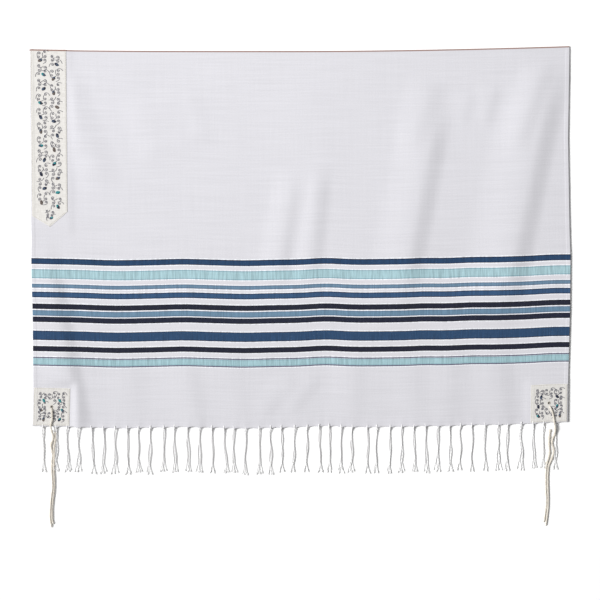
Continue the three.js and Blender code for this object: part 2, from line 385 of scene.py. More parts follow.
def new_material(name, **surface):
    """A material of this name, its node tree and its surface shader."""
    material = bpy.data.materials.new(name)
    material.use_nodes = True
    tree = material.node_tree
    shader = tree.nodes["Principled BSDF"]
    for socket, value in surface.items():
        shader.inputs[socket.replace("_", " ")].default_value = value
    return material, tree, shader


# ---------------------------------------------------------------- camera

PICTURE_WIDTH = 1224.0
CAMERA_HEIGHT = 2.9
SENSOR = 36.0
PICTURE_MIDDLE_Y = FOLD_Y - 508.5


def set_camera():
    data = bpy.data.cameras.new("camera")
    data.sensor_width = SENSOR
    data.lens = SENSOR * (CAMERA_HEIGHT - 0.004) / (PICTURE_WIDTH * MM)
    camera = bpy.data.objects.new("camera", data)
    bpy.context.scene.collection.objects.link(camera)
    camera.location = (0.0, PICTURE_MIDDLE_Y * MM, CAMERA_HEIGHT)
    bpy.context.scene.camera = camera


set_camera()

# ---------------------------------------------------------------- yarn materials


def yarn_material(name, colour, shade, sheen):
    """Spun wool yarn: matt and a little napped, with fibres along it in two near tones."""
    material, tree, shader = new_material(
        name, Roughness=0.9, IOR=1.5, Specular_IOR_Level=0.25,
        Sheen_Weight=sheen, Sheen_Roughness=0.5)
    yarn = add_node(tree, "UVMap", uv_map="yarn")
    # Tufts of fibre about a ninth of the way round the yarn and 3 mm long
    stretched = add_node(tree, "Mapping", {"Vector": yarn.outputs["UV"], "Scale": (9, 0.3, 1)})
    fibres = add_node(tree, "TexNoise", {"Vector": stretched.outputs[0], "Scale": 1.0,
                                         "Detail": 3.0, "Distortion": 0.6})
    tint = add_node(tree, "MapRange", {"Value": fibres.outputs[0], "From Min": 0.35,
                                       "From Max": 0.7})
    blend = add_node(tree, "Mix", {MIX_SHARE: tint.outputs[0], MIX_A: linear(shade),
                                   MIX_B: linear(colour)}, data_type="RGBA")
    bump = add_node(tree, "Bump", {"Height": fibres.outputs[0], "Distance": 0.3 * MM,
                                   "Strength": 0.6})
    tree.links.new(blend.outputs[MIX_COLOUR], shader.inputs["Base Color"])
    tree.links.new(bump.outputs[0], shader.inputs["Normal"])
    return material


FRINGE_YARN = yarn_material("off_white_wool_yarn", "#FAFAFA", "#E9E8E8", 0.2)
TASSEL_YARN = yarn_material("cream_wool_tassel_thread", "#F4F1EA", "#CDC3B4", 0.2)

# ---------------------------------------------------------------- tassels

# Each tassel's route as x, y, z, from its eyelet or from the hem to its free end
TASSEL_ROUTES = {
    "tzitzit_front_left": [
        (-506.5, -302, 7.5), (-505.5, -312, 7.5), (-505.2, -324, 7.5), (-507.6, -335, 7.5),
        (-507.6, -343, 7.2), (-505.4, -351, 5.5), (-503.6, -359, 3.2), (-504.4, -367, 1.9),
        (-507.8, -375, 1.65), (-507.6, -384, 1.65), (-505.2, -394, 1.65), (-506, -410, 1.65),
        (-506.6, -426, 1.65), (-505.6, -448, 1.65), (-505.6, -468, 1.65), (-508.4, -490, 1.65),
        (-510, -512, 1.65), (-509.6, -530, 1.65), (-506.8, -545, 1.65),
    ],
    "tzitzit_front_right": [
        (509, -298, 7.5), (513.4, -308, 7.5), (516.6, -321, 7.5), (518.8, -334, 7.5),
        (520, -342, 6.8), (520.2, -350, 5), (518.6, -358, 2.9), (515, -367, 1.8),
        (515, -376, 1.65), (517.6, -386, 1.65), (517, -397, 1.65), (512.4, -409, 1.65),
        (508, -420, 1.65), (506.2, -434, 1.65), (506, -452, 1.65), (506.4, -474, 1.65),
        (506.8, -498, 1.65), (504.4, -522, 1.65), (501.8, -541.5, 1.65),
    ],
    "tzitzit_back_left": [
        (-499.6, -351, 1.65), (-499.2, -360, 1.65), (-499.6, -370, 1.65), (-501.6, -380, 1.65),
        (-501.4, -394, 1.65), (-502, -410, 1.65), (-502.6, -426, 1.65), (-501.6, -448, 1.65),
        (-501.6, -468, 1.65), (-504.4, -490, 1.65), (-506, -512, 1.65), (-505.6, -530, 1.65),
        (-503.4, -539, 1.65),
    ],
    "tzitzit_back_right": [
        (511, -345, 1.65), (509.4, -356, 1.65), (508.4, -368, 1.65), (508.6, -380, 1.65),
        (509.4, -392, 1.65), (507.4, -404, 1.65), (503.6, -416, 1.65), (502.2, -432, 1.65),
        (502, -452, 1.65), (502.4, -474, 1.65), (502.8, -498, 1.65), (500.4, -520, 1.65),
        (498, -534, 1.65),
    ],
}

TASSEL_THREADS = 8
THREAD_RADIUS = 0.6
THREAD_RING = 1.2
WINDINGS = (7, 8, 11, 13)
WINDING_PITCH = 1.3
WINDING_RADIUS = 1.75
KNOT_RADIUS = 2.1
KNOT_LENGTH = 3.6
PATH_STEP = 1.6
# A front tassel comes up out of its eyelet over these first heights
RISING_FROM_EYELET = (2.4, 5.4, 7.2)


def smooth_path(route, step):
    """A Catmull-Rom curve through the route's points, sampled evenly."""
    p = np.asarray(route, float)
    p = np.concatenate([[2 * p[0] - p[1]], p, [2 * p[-1] - p[-2]]])
    fine = []
    for a, b, c, d in zip(p, p[1:], p[2:], p[3:]):
        for t in np.linspace(0, 1, 24, endpoint=False):
            fine.append(0.5 * (2 * b + (c - a) * t + (2 * a - 5 * b + 4 * c - d) * t**2
                               + (3 * b - a - 3 * c + d) * t**3))
    fine.append(p[-2])
    return even_path(np.array(fine), step)


def even_path(points, step):
    lengths = np.concatenate([[0], np.cumsum(np.linalg.norm(np.diff(points, axis=0), axis=1))])
    wanted = np.linspace(0, lengths[-1], max(int(lengths[-1] / step), 2) + 1)
    return np.stack([np.interp(wanted, lengths, points[:, k]) for k in range(3)], axis=1)


def path_frame(path):
    """Directions ahead, level across and up, at each point of a path."""
    ahead = np.gradient(path, axis=0)
    ahead /= np.linalg.norm(ahead, axis=1, keepdims=True)
    across = np.cross(ahead, [0.0, 0.0, 1.0])
    across /= np.linalg.norm(across, axis=1, keepdims=True)
    return ahead, across, np.cross(across, ahead)


def around(path, radius, turn):
    """A line that runs round a path, at a radius and an angle for each point."""
    _, across, up = path_frame(path)
    radius = np.broadcast_to(radius, len(path))[:, None]
    return path + radius * (np.cos(turn)[:, None] * across + np.sin(turn)[:, None] * up)


def tassel(name, knots_from):
    """Eight threads, bound by five knots with windings between them, and loose below."""
    draw = random.Random(name)
    path = smooth_path(TASSEL_ROUTES[name], PATH_STEP)
    length = np.linspace(0, PATH_STEP * (len(path) - 1), len(path))
    if "front" in name:
        path[:len(RISING_FROM_EYELET), 2] = RISING_FROM_EYELET
    threads = Threads()
    bound_to = knots_from + sum(WINDINGS) * WINDING_PITCH + 5 * KNOT_LENGTH
    loose = smooth(bound_to, bound_to + 30, length)
    for k in range(TASSEL_THREADS):
        ring = 0.0 if k == 0 else THREAD_RING
        phase = 2 * math.pi * k / (TASSEL_THREADS - 1) + draw.uniform(-0.1, 0.1)
        wander = draw.uniform(0.2, 0.6) * np.sin(length / draw.uniform(14, 26) + phase)
        turn = phase + length / 16 + wander * loose
        spread = ring * (1 - 0.12 * loose) + 0.22 * loose * np.abs(wander)
        stop = len(path) - draw.randint(0, 2)
        line = around(path, spread, turn)[:stop]
        line[:, 2] = np.maximum(line[:, 2], THREAD_RADIUS + 0.05)
        radii = THREAD_RADIUS * (1 + 0.12 * np.sin(length[:stop] / 3.1 + phase))
        threads.tube(line, radii, 6)
        tip = line[-1] - line[-2]
        threads.bead(line[-1], tip / np.linalg.norm(tip), 0.9, 0.75)
    at = knots_from
    for group in (*WINDINGS, 0):
        threads.tube(knot_line(path, length, at), 0.75, 7)
        at += KNOT_LENGTH
        if group:
            on = np.linspace(at, at + group * WINDING_PITCH, group * 10)
            centre = np.stack([np.interp(on, length, path[:, k]) for k in range(3)], axis=1)
            turn = 2 * math.pi * (on - at) / WINDING_PITCH
            line = around(centre, WINDING_RADIUS, turn)
            line[:, 2] = np.maximum(line[:, 2], 0.5)
            threads.tube(line, 0.5, 5)
            at += group * WINDING_PITCH
    return threads, path


def knot_line(path, length, at):
    """A double knot: two and a half slanting turns round the bundle."""
    on = np.linspace(at - 1.0, at - 1.0 + KNOT_LENGTH, 34)
    centre = np.stack([np.interp(on, length, path[:, k]) for k in range(3)], axis=1)
    turn = np.linspace(0.4, 5.2 * math.pi, len(on))
    line = around(centre, KNOT_RADIUS + 0.25 * np.sin(turn * 0.7), turn)
    line[:, 2] = np.maximum(line[:, 2], 0.8)
    return line


FRONT_KNOTS_FROM = 46.0
BACK_KNOTS_FROM = 3.0


def make_tassels():
    for name in TASSEL_ROUTES:
        start = FRONT_KNOTS_FROM if "front" in name else BACK_KNOTS_FROM
        threads, path = tassel(name, start)
        piece = threads.piece(name + "_threads", TASSEL_YARN)
        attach(piece, "root")
        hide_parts(name)


make_tassels()

# ---------------------------------------------------------------- cloth material

Band = namedtuple("Band", "top bottom colour edge")
STRIPES = [
    Band(425.8, 437.8, "#203C5C", "#101F3A"),
    Band(448.2, 466.6, "#9BB9C0", "#7C9DA8"),
    Band(477.8, 486.1, "#627D94", "#4A6078"),
    Band(494.1, 505.5, "#2F4C6E", "#192A46"),
    Band(518.2, 529.0, "#191C2D", "#0E101C"),
    Band(531.4, 542.6, "#627F96", "#4A637C"),
    Band(544.7, 555.5, "#191D30", "#0E111D"),
    Band(573.2, 592.2, "#264262", "#15243D"),
    Band(604.5, 615.3, "#191C2D", "#0E101C"),
    Band(626.9, 629.1, "#54566A", "#54566A"),
    Band(629.7, 642.2, "#96B5BC", "#80A2AC"),
    Band(642.6, 644.8, "#54566A", "#54566A"),
]
STRIPE_EDGE = 1.6
WHITE_LINE = 2.2
# A ramp holds 32 stops at most, so the stripes are shared among three
BAND_SPANS = [(420.0, 513.0), (513.0, 600.0), (600.0, 660.0)]

CLOTH_WHITE = "#CCCBD0"
LINE_WHITE = "#DFE0E5"


def stripe_stops(top, bottom):
    """Where each colour begins between top and bottom, and alpha 0 for the plain cloth."""
    stops = [(top, CLOTH_WHITE, 0.0)]
    for band in STRIPES:
        if not top <= band.top < bottom:
            continue
        edge = min(STRIPE_EDGE, (band.bottom - band.top) / 3)
        if stops[-1][0] > band.top - WHITE_LINE:
            stops.pop()
        else:
            stops.append((band.top - WHITE_LINE, LINE_WHITE, 1.0))
        stops.append((band.top, band.edge, 1.0))
        stops.append((band.top + edge, band.colour, 1.0))
        stops.append((band.bottom - edge, band.edge, 1.0))
        stops.append((band.bottom, LINE_WHITE, 1.0))
        stops.append((band.bottom + WHITE_LINE, CLOTH_WHITE, 0.0))
    return stops


def stretched_noise(tree, places, per_mm_x, per_mm_v, detail=2.0):
    """Noise drawn out along the warp or the weft, from its cells in each millimetre."""
    scale = (per_mm_x / MM, per_mm_v / MM, 1)
    drawn = add_node(tree, "Mapping", {"Vector": places, "Scale": scale})
    noise = add_node(tree, "TexNoise", {"Vector": drawn.outputs[0], "Scale": 1.0, "Detail": detail})
    return noise.outputs[0]


def woven_cloth():
    """Plain-woven wool and cotton: matt and a little napped, with slubs along both threads
    and stripes woven in with a thicker weft, so that they stand in fine ribs."""
    material, tree, shader = new_material(
        "plain_woven_striped_wool", Roughness=0.92, IOR=1.5, Specular_IOR_Level=0.2,
        Sheen_Weight=0.12, Sheen_Roughness=0.6)
    cut = add_node(tree, "UVMap", uv_map="cut").outputs["UV"]
    split = add_node(tree, "SeparateXYZ", {0: cut})
    below = add_node(tree, "Math", {0: split.outputs[1]}, operation="ABSOLUTE").outputs[0]
    # The wefts wander by a fraction of a millimetre
    wobble = stretched_noise(tree, cut, 1 / 12, 1 / 40)
    shift = add_node(tree, "MapRange", {"Value": wobble, "To Min": -0.35 * MM, "To Max": 0.35 * MM})
    woven_v = add_node(tree, "Math", {0: below, 1: shift.outputs[0]}, operation="ADD").outputs[0]

    # Slubs: threads of 0.5 mm are too fine to show, so the thicker ones stand for them,
    # one each 4 mm or so along the weft and fewer along the warp
    weft = stretched_noise(tree, cut, 1 / 120, 1 / 3.4)
    warp = stretched_noise(tree, cut, 1 / 3.2, 1 / 120)
    nap = stretched_noise(tree, cut, 1 / 2.0, 1 / 2.0, 3.0)
    slubs = add_node(tree, "Math", {0: weft, 1: 0.62, 2: nap}, operation="MULTIPLY_ADD").outputs[0]
    slubs = add_node(tree, "Math", {0: warp, 1: 0.3, 2: slubs}, operation="MULTIPLY_ADD").outputs[0]
    tone = add_node(tree, "MapRange", {"Value": slubs, "From Min": 0.6, "From Max": 1.3,
                                       "To Min": 0.91, "To Max": 1.08}).outputs[0]

    # Ribs across the stripes, 5 mm apart and uneven, with flecks where the warp shows
    ribs = stretched_noise(tree, cut, 1 / 2.7, 1 / 34)
    rib_tone = add_node(tree, "MapRange", {"Value": ribs, "From Min": 0.3, "From Max": 0.7,
                                           "To Min": 0.8, "To Max": 1.18}).outputs[0]
    flecks = stretched_noise(tree, cut, 1 / 1.6, 1 / 3.0)
    fleck = add_node(tree, "MapRange", {"Value": flecks, "From Min": 0.62, "From Max": 0.78,
                                        "To Min": 0.0, "To Max": 0.1}).outputs[0]

    colour = linear(CLOTH_WHITE)
    striped = None
    for top, bottom in BAND_SPANS:
        share = add_node(tree, "MapRange", {"Value": woven_v, "From Min": top * MM,
                                            "From Max": bottom * MM}).outputs[0]
        ramp = add_node(tree, "ValToRGB", {0: share})
        ramp.color_ramp.interpolation = "CONSTANT"
        elements = ramp.color_ramp.elements
        elements.remove(elements[1])
        for at, shade, alpha in stripe_stops(top, bottom):
            stop = elements.new((at - top) / (bottom - top)) if at > top else elements[0]
            stop.color = linear(shade, alpha)
        dyed = add_node(tree, "Mix", {MIX_SHARE: fleck, MIX_A: ramp.outputs[0],
                                      MIX_B: linear(LINE_WHITE)}, data_type="RGBA")
        ribbed = add_node(tree, "VectorMath", {0: dyed.outputs[MIX_COLOUR], "Scale": rib_tone},
                          operation="SCALE")
        colour = add_node(tree, "Mix", {MIX_SHARE: ramp.outputs[1], MIX_A: colour,
                                        MIX_B: ribbed.outputs[0]},
                          data_type="RGBA").outputs[MIX_COLOUR]
        if striped is None:
            striped = ramp.outputs[1]
        else:
            striped = add_node(tree, "Math", {0: striped, 1: ramp.outputs[1]},
                               operation="MAXIMUM").outputs[0]

    # A thin brownish line of painted shade along the fold, where the cloth turns under
    painted_fold_shade = add_node(tree, "MapRange", {"Value": below, "From Min": 2.0 * MM, "From Max": 3.6 * MM,
                                       "To Min": 1.0, "To Max": 0.0}).outputs[0]
    colour = add_node(tree, "Mix", {MIX_SHARE: painted_fold_shade, MIX_A: colour, MIX_B: linear("#8E7067")},
                      data_type="RGBA").outputs[MIX_COLOUR]
    colour = add_node(tree, "VectorMath", {0: colour, "Scale": tone}, operation="SCALE").outputs[0]

    rib_height = add_node(tree, "Math", {0: ribs, 1: striped}, operation="MULTIPLY").outputs[0]
    height = add_node(tree, "Math", {0: rib_height, 1: 0.8, 2: slubs}, operation="MULTIPLY_ADD")
    bump = add_node(tree, "Bump", {"Height": height.outputs[0], "Strength": 0.5,
                                   "Distance": 0.3 * MM})
    tree.links.new(colour, shader.inputs["Base Color"])
    tree.links.new(bump.outputs[0], shader.inputs["Normal"])
    return material


# ---------------------------------------------------------------- the cloth

EDGE_STATIONS = np.array([0, 0.5, 1.5, 3.5, 6, 7.2, 8, 8.8, 10.5, 14])
HEM_STATIONS = np.array([0, 1, 2.5, 5, 8, 12, 16])


def fold_rows(steps):
    """Places round the fold, evenly turned."""
    turn = np.linspace(-math.pi / 2, math.pi / 2, steps + 1)
    return np.sign(turn) * STACK / 2 * (1 - np.cos(turn))


def punch(piece, places):
    """Punches the eyelets that the tassels are looped through."""
    cutter = bmesh.new()
    for centre in places:
        made = bmesh.ops.create_cone(cutter, cap_ends=True, segments=20, depth=0.04,
                                     radius1=EYELET_RADIUS * MM, radius2=EYELET_RADIUS * MM)
        bmesh.ops.translate(cutter, verts=made["verts"], vec=centre)
    mesh = bpy.data.meshes.new("punch")
    cutter.to_mesh(mesh)
    cutter.free()
    tool = bpy.data.objects.new("punch", mesh)
    bpy.context.scene.collection.objects.link(tool)
    hole = piece.modifiers.new("eyelets", "BOOLEAN")
    hole.object = tool
    hole.solver = "MANIFOLD"
    with bpy.context.temp_override(object=piece, active_object=piece):
        bpy.ops.object.modifier_apply(modifier=hole.name)
    bpy.data.objects.remove(tool)


EYELET_X = (SQUARE["inner"] + SQUARE["outer"]) / 2
EYELET_V = (SQUARE["top"] + SQUARE["bottom"]) / 2


def eyelet_place(side):
    return Vector(place(side * EYELET_X, EYELET_V, 0.0).tolist())


def make_cloth():
    edge = HALF_WIDTH - EDGE_STATIONS
    middle = np.linspace(-edge[-1] + 6, edge[-1] - 6, 178)
    columns = np.concatenate([-edge, middle, edge[::-1]])
    hem = HALF_LENGTH - HEM_STATIONS
    front = np.concatenate([np.arange(4, hem[-1] - 2, 6.2), hem[::-1]])
    back = -np.concatenate([hem, np.arange(hem[-1] - 14, 6, -21)])
    x, v = np.meshgrid(columns, np.concatenate([back, fold_rows(8), front]))
    v = v - np.sign(v) * hem_scallop(x, np.abs(v))
    hem_extra = 0.4 * (1 - smooth(HEM_WIDTH - 0.5, HEM_WIDTH + 1, HALF_WIDTH - np.abs(x)))
    cut = np.stack([x, v], axis=-1)
    cloth = wall_piece("striped_cloth", lay(x, v), lay(x, v, -CLOTH_THICKNESS - hem_extra), cut,
                       woven_cloth())
    punch(cloth, [eyelet_place(-1), eyelet_place(1)])
    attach(cloth, "root")
    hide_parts("shawl_cloth")
    return cloth


# ---------------------------------------------------------------- linen trims

def ivory_linen():
    """Plain-woven linen: ivory, matt, with thicker and thinner threads both ways."""
    material, tree, shader = new_material(
        "plain_woven_ivory_linen", Roughness=0.85, IOR=1.5, Specular_IOR_Level=0.25,
        Sheen_Weight=0.08, Sheen_Roughness=0.5)
    cut = add_node(tree, "UVMap", uv_map="cut").outputs["UV"]
    weft = stretched_noise(tree, cut, 1 / 14, 1 / 1.1)
    warp = stretched_noise(tree, cut, 1 / 1.1, 1 / 14)
    both = add_node(tree, "Math", {0: weft, 1: warp}, operation="ADD").outputs[0]
    tone = add_node(tree, "MapRange", {"Value": both, "From Min": 0.75, "From Max": 1.25}).outputs[0]
    colour = add_node(tree, "Mix", {MIX_SHARE: tone, MIX_A: linear("#C9C6C2"), MIX_B: linear("#DCDAD6")},
                      data_type="RGBA")
    bump = add_node(tree, "Bump", {"Height": both, "Strength": 0.5, "Distance": 0.25 * MM})
    # The band's fold has the same thin brownish line of painted shade as the cloth's
    split = add_node(tree, "SeparateXYZ", {0: cut})
    below = add_node(tree, "Math", {0: split.outputs[1]}, operation="ABSOLUTE").outputs[0]
    painted_fold_shade = add_node(tree, "MapRange", {"Value": below, "From Min": 2.0 * MM, "From Max": 3.6 * MM,
                                       "To Min": 1.0, "To Max": 0.0}).outputs[0]
    colour = add_node(tree, "Mix", {MIX_SHARE: painted_fold_shade, MIX_A: colour.outputs[MIX_COLOUR],
                                    MIX_B: linear("#8E7067")}, data_type="RGBA")
    tree.links.new(colour.outputs[MIX_COLOUR], shader.inputs["Base Color"])
    tree.links.new(bump.outputs[0], shader.inputs["Normal"])
    return material


def embroidery_thread(name, colour, shade):
    """Mercerised cotton: a soft lustre along the thread, with a darker tone painted in patches as the
    shade between its strands.
    """
    material, tree, shader = new_material(
        name, Roughness=0.5, IOR=1.5, Specular_IOR_Level=0.4, Sheen_Weight=0.1)
    yarn = add_node(tree, "UVMap", uv_map="yarn")
    drawn = add_node(tree, "Mapping", {"Vector": yarn.outputs["UV"], "Scale": (6, 0.5, 1)})
    strands = add_node(tree, "TexNoise", {"Vector": drawn.outputs[0], "Scale": 1.0})
    tint = add_node(tree, "MapRange", {"Value": strands.outputs[0], "From Min": 0.35,
                                       "From Max": 0.65})
    # The shade colour is painted shade between the strands, laid in patches round and along the thread
    blend = add_node(tree, "Mix", {MIX_SHARE: tint.outputs[0], MIX_A: linear(shade),
                                   MIX_B: linear(colour)}, data_type="RGBA")
    bump = add_node(tree, "Bump", {"Height": strands.outputs[0], "Strength": 0.5,
                                   "Distance": 0.2 * MM})
    tree.links.new(blend.outputs[MIX_COLOUR], shader.inputs["Base Color"])
    tree.links.new(bump.outputs[0], shader.inputs["Normal"])
    return material


LINEN = ivory_linen()
THREADS = [
    embroidery_thread("grey_embroidery_cotton", "#75747E", "#55545E"),
    embroidery_thread("teal_embroidery_cotton", "#2FA5A8", "#14646C"),
    embroidery_thread("navy_embroidery_cotton", "#1B2547", "#0C1226"),
    embroidery_thread("slate_embroidery_cotton", "#4E5F78", "#333F52"),
    embroidery_thread("taupe_embroidery_cotton", "#7B6F68", "#574D48"),
]
STITCH_THREAD = embroidery_thread("ivory_sewing_cotton", "#CFC9BC", "#A69F91")
GREY, TEAL, NAVY, SLATE, TAUPE = range(5)

TRIM_GAP = 0.1
TRIM_OUT = TRIM_GAP + TRIM_THICKNESS
TURNED_EDGE = 7.0
TIP_SHARE = 0.59


def trim_piece(name, x, v, inset):
    """A linen patch whose edges are turned under, so that they stand a little higher."""
    turned = 0.16 * (1 - smooth(TURNED_EDGE - 1, TURNED_EDGE, inset))
    rounded = -0.25 * (1 - smooth(0, 0.9, inset))
    stitched = -0.18 * np.exp(-(((inset - STITCH_INSET) / 0.7) ** 2))
    outer = lay(x, v, TRIM_OUT + turned + rounded + stitched)
    return wall_piece(name, outer, lay(x, v, TRIM_GAP), np.stack([x, v], axis=-1), LINEN)


def neckband_grid():
    """The neckband's grid of places, and how far each is from its edge."""
    shoulder, slant, tip = NECKBAND["shoulder"], NECKBAND["slant"], NECKBAND["tip"]
    half = (NECKBAND["right"] - NECKBAND["left"]) / 2
    middle = (NECKBAND["right"] + NECKBAND["left"]) / 2
    front = np.concatenate([np.arange(4, shoulder, 5), np.linspace(shoulder, tip, 10)])
    rows = np.concatenate([-front[::-1], fold_rows(8), front])
    c = 1 - np.array([0, 0.02, 0.05, 0.09, 0.14, 0.19, 0.24, 0.4, 0.6, 0.8])
    c, row = np.meshgrid(np.concatenate([-c, [0], c[::-1]]), rows)
    narrowing = np.clip((np.abs(row) - shoulder) / (tip - shoulder), 0, 1)
    slanting = np.clip((np.abs(row) - shoulder + 35) / 35, 0, 1) * (1 - narrowing)
    width = half * (1 - narrowing) + narrowing
    x = middle + c * width
    v = row - np.sign(row) * slant * c * slanting
    inset = (1 - np.abs(c)) * width * np.where(narrowing > 0, TIP_SHARE, 1.0)
    return x, v, inset


def make_neckband():
    x, v, inset = neckband_grid()
    piece = trim_piece("linen_neckband", x, v, inset)
    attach(piece, "root")
    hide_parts("neckband")
    return piece


def make_square(layer, side_name):
    side = -1 if side_name == "left" else 1
    fold_side = 1 if layer == "front" else -1
    inward = np.array([0, 0.6, 1.8, 3, 5, 6, 7, 9])
    width = SQUARE["outer"] - SQUARE["inner"]
    height = SQUARE["bottom"] - SQUARE["top"]
    across = np.concatenate([inward, np.linspace(12, width - 12, 14), width - inward[::-1]])
    down = np.concatenate([inward, np.linspace(12, height - 12, 14), height - inward[::-1]])
    a, d = np.meshgrid(across, down)
    inset = np.minimum(np.minimum(a, width - a), np.minimum(d, height - d))
    piece = trim_piece(f"linen_corner_{layer}_{side_name}", side * (SQUARE["inner"] + a),
                       fold_side * (SQUARE["top"] + d), inset)
    punch(piece, [eyelet_place(side)])
    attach(piece, "root")
    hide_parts(f"corner_{layer}_{side_name}")
    return piece


# ---------------------------------------------------------------- embroidery and stitching

def on_cloth(points, out):
    """Places on the cut, as (x, v) rows, in laid millimetres."""
    points = np.asarray(points, float)
    return lay(points[:, 0], points[:, 1], out) / MM


def scroll(threads, centre, radius, start, hand, fold_side):
    """A tendril that comes in along an open curve and winds into a spiral."""
    turn = np.linspace(0, 3.1 * math.pi, 26)
    r = radius * np.exp(-0.17 * turn) * (1 + 0.9 * np.exp(-turn * 1.6))
    angle = start + hand * turn
    points = np.stack([centre[0] + r * np.cos(angle),
                       fold_side * (centre[1] + r * np.sin(angle))], axis=1)
    threads.tube(on_cloth(points, TRIM_OUT + 0.25), np.linspace(0.55, 0.68, 26), 5, GREY)


def leaf(threads, centre, angle, long, wide, tones, fold_side):
    """A leaf in satin stitch: slanting stitches side by side, in two tones."""
    for i in range(SATIN_STITCHES):
        t = (i + 0.5) / SATIN_STITCHES
        reach = wide / 2 * math.sin(math.pi * t) ** 0.7
        middle = (t - 0.5) * long
        ends = []
        for s in (-1, -0.33, 0.33, 1):
            u, w = middle + 0.35 * s * reach, s * reach
            ends.append((centre[0] + u * math.cos(angle) - w * math.sin(angle),
                         fold_side * (centre[1] + u * math.sin(angle) + w * math.cos(angle))))
        path = on_cloth(ends, TRIM_OUT + np.array([0.15, 0.6, 0.6, 0.15]))
        threads.tube(path, 0.62, 5, tones[0] if i < SATIN_STITCHES // 2 else tones[1])


LEAF_TONES = [(TEAL, TEAL), (NAVY, SLATE), (TEAL, NAVY), (TAUPE, TAUPE), (NAVY, NAVY),
              (SLATE, TAUPE), (TEAL, SLATE)]


# Where a sprig's tendrils wind, across and down from its middle
TENDRILS = [(-6.4, -9.5), (6.2, -7.0), (-6.0, -0.8), (6.4, 1.0), (-6.2, 7.6)]


def spray(threads, draw, centre, fold_side, size=1.0, leaves=True):
    """One sprig: tendrils round a leaf, turned either way."""
    hand = draw.choice((-1, 1))
    lean = draw.uniform(-0.5, 0.5)
    for k, (dx, dv) in enumerate(TENDRILS):
        middle = (centre[0] + hand * dx * size + draw.uniform(-1, 1),
                  centre[1] + dv * size + draw.uniform(-1, 1))
        radius = size * draw.uniform(4.0, 5.2)
        scroll(threads, middle, radius, lean + k * 2.1, hand * (-1) ** k, fold_side)
    if leaves:
        at = (centre[0] + hand * 3.4 * size, centre[1] + 8.2 * size)
        leaf(threads, at, draw.uniform(0, math.pi), 9.4 * size, 6.2 * size,
             draw.choice(LEAF_TONES), fold_side)


SPRAY_PITCH = 29.0
COLUMN_REACH = 13.5
SQUARE_CELLS = 3
EMBROIDERED_WIDTH = 58.0
STITCH_INSET = 1.8
BUTTONHOLE_STITCHES = 22
SATIN_STITCHES = 9


def running_stitches(threads, corners, fold_side):
    """Small stitches that hold a trim down, just inside its edge."""
    stitch, pitch = 2.4, 3.6
    for (ax, av), (bx, bv) in zip(corners, corners[1:]):
        length = math.hypot(bx - ax, bv - av)
        for i in range(int(length / pitch)):
            t = np.linspace(i * pitch, i * pitch + stitch, 3) / length
            points = np.stack([ax + (bx - ax) * t, fold_side * (av + (bv - av) * t)], axis=1)
            threads.tube(on_cloth(points, TRIM_OUT + np.array([0, 0.22, 0])), 0.3, 4)


def buttonhole(threads, centre, fold_side):
    """The eyelet's edge is oversewn with close stitches."""
    for k in range(BUTTONHOLE_STITCHES):
        angle = 2 * math.pi * k / BUTTONHOLE_STITCHES
        r = EYELET_RADIUS + np.array([0.1, 0.8, 1.5])
        points = np.stack([centre[0] + r * math.cos(angle),
                           fold_side * (centre[1] + r * math.sin(angle))], axis=1)
        threads.tube(on_cloth(points, TRIM_OUT + np.array([0.1, 0.35, 0.05])), 0.26, 4)


def join_shawl(piece):
    """Lets a piece ride with the shawl."""
    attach(piece, "root")
    return piece


def embroider_neckband():
    draw = random.Random(7)
    work, seams = Threads(), Threads()
    left, right, shoulder, tip = (NECKBAND[k] for k in ("left", "right", "shoulder", "tip"))
    middle = (left + right) / 2
    inset = STITCH_INSET
    for fold_side in (-1, 1):
        for column in (-1, 1):
            first = 14 if column < 0 else 22
            for v in np.arange(first, shoulder - 8, SPRAY_PITCH):
                spray(work, draw, (middle + column * COLUMN_REACH, v), fold_side)
        spray(work, draw, (middle, shoulder + 2), fold_side, 0.8)
        slant = NECKBAND["slant"]
        corners = [(left + inset, 4), (left + inset, shoulder + slant - 1), (middle, tip - 3),
                   (right - inset, shoulder - slant - 1), (right - inset, 4)]
        running_stitches(seams, corners, fold_side)
    return (join_shawl(work.piece("neckband_embroidery", THREADS)),
            join_shawl(seams.piece("neckband_stitches", STITCH_THREAD)))


def embroider_square(layer, side_name):
    side = -1 if side_name == "left" else 1
    fold_side = 1 if layer == "front" else -1
    draw = random.Random(f"{layer} {side_name}")
    work, seams = Threads(), Threads()
    cell = EMBROIDERED_WIDTH / SQUARE_CELLS
    centre = (side * EYELET_X, EYELET_V)
    for row in range(SQUARE_CELLS):
        for column in range(SQUARE_CELLS):
            offset = ((column - 1) * cell, (row - 1) * cell)
            if offset != (0.0, 0.0):
                at = (centre[0] + offset[0], centre[1] + offset[1])
                spray(work, draw, at, fold_side, 0.82, leaves=(row + column) % 2 == 0 or row == 1)
    w = (SQUARE["outer"] - SQUARE["inner"]) / 2 - STITCH_INSET
    h = (SQUARE["bottom"] - SQUARE["top"]) / 2 - STITCH_INSET
    corners = [(centre[0] + a * w, centre[1] + b * h)
               for a, b in ((-1, -1), (1, -1), (1, 1), (-1, 1), (-1, -1))]
    running_stitches(seams, corners, fold_side)
    buttonhole(seams, centre, fold_side)
    name = f"corner_{layer}_{side_name}"
    return (join_shawl(work.piece(name + "_embroidery", THREADS)),
            join_shawl(seams.piece(name + "_stitches", STITCH_THREAD)))


# ---------------------------------------------------------------- fringe

STRAND_STEP = 1.7
PLY_RADIUS = 0.66
PLY_OFFSET = 0.74
TWIST_LENGTH = 13.0
ROOT_KNOT_AT = 8.0


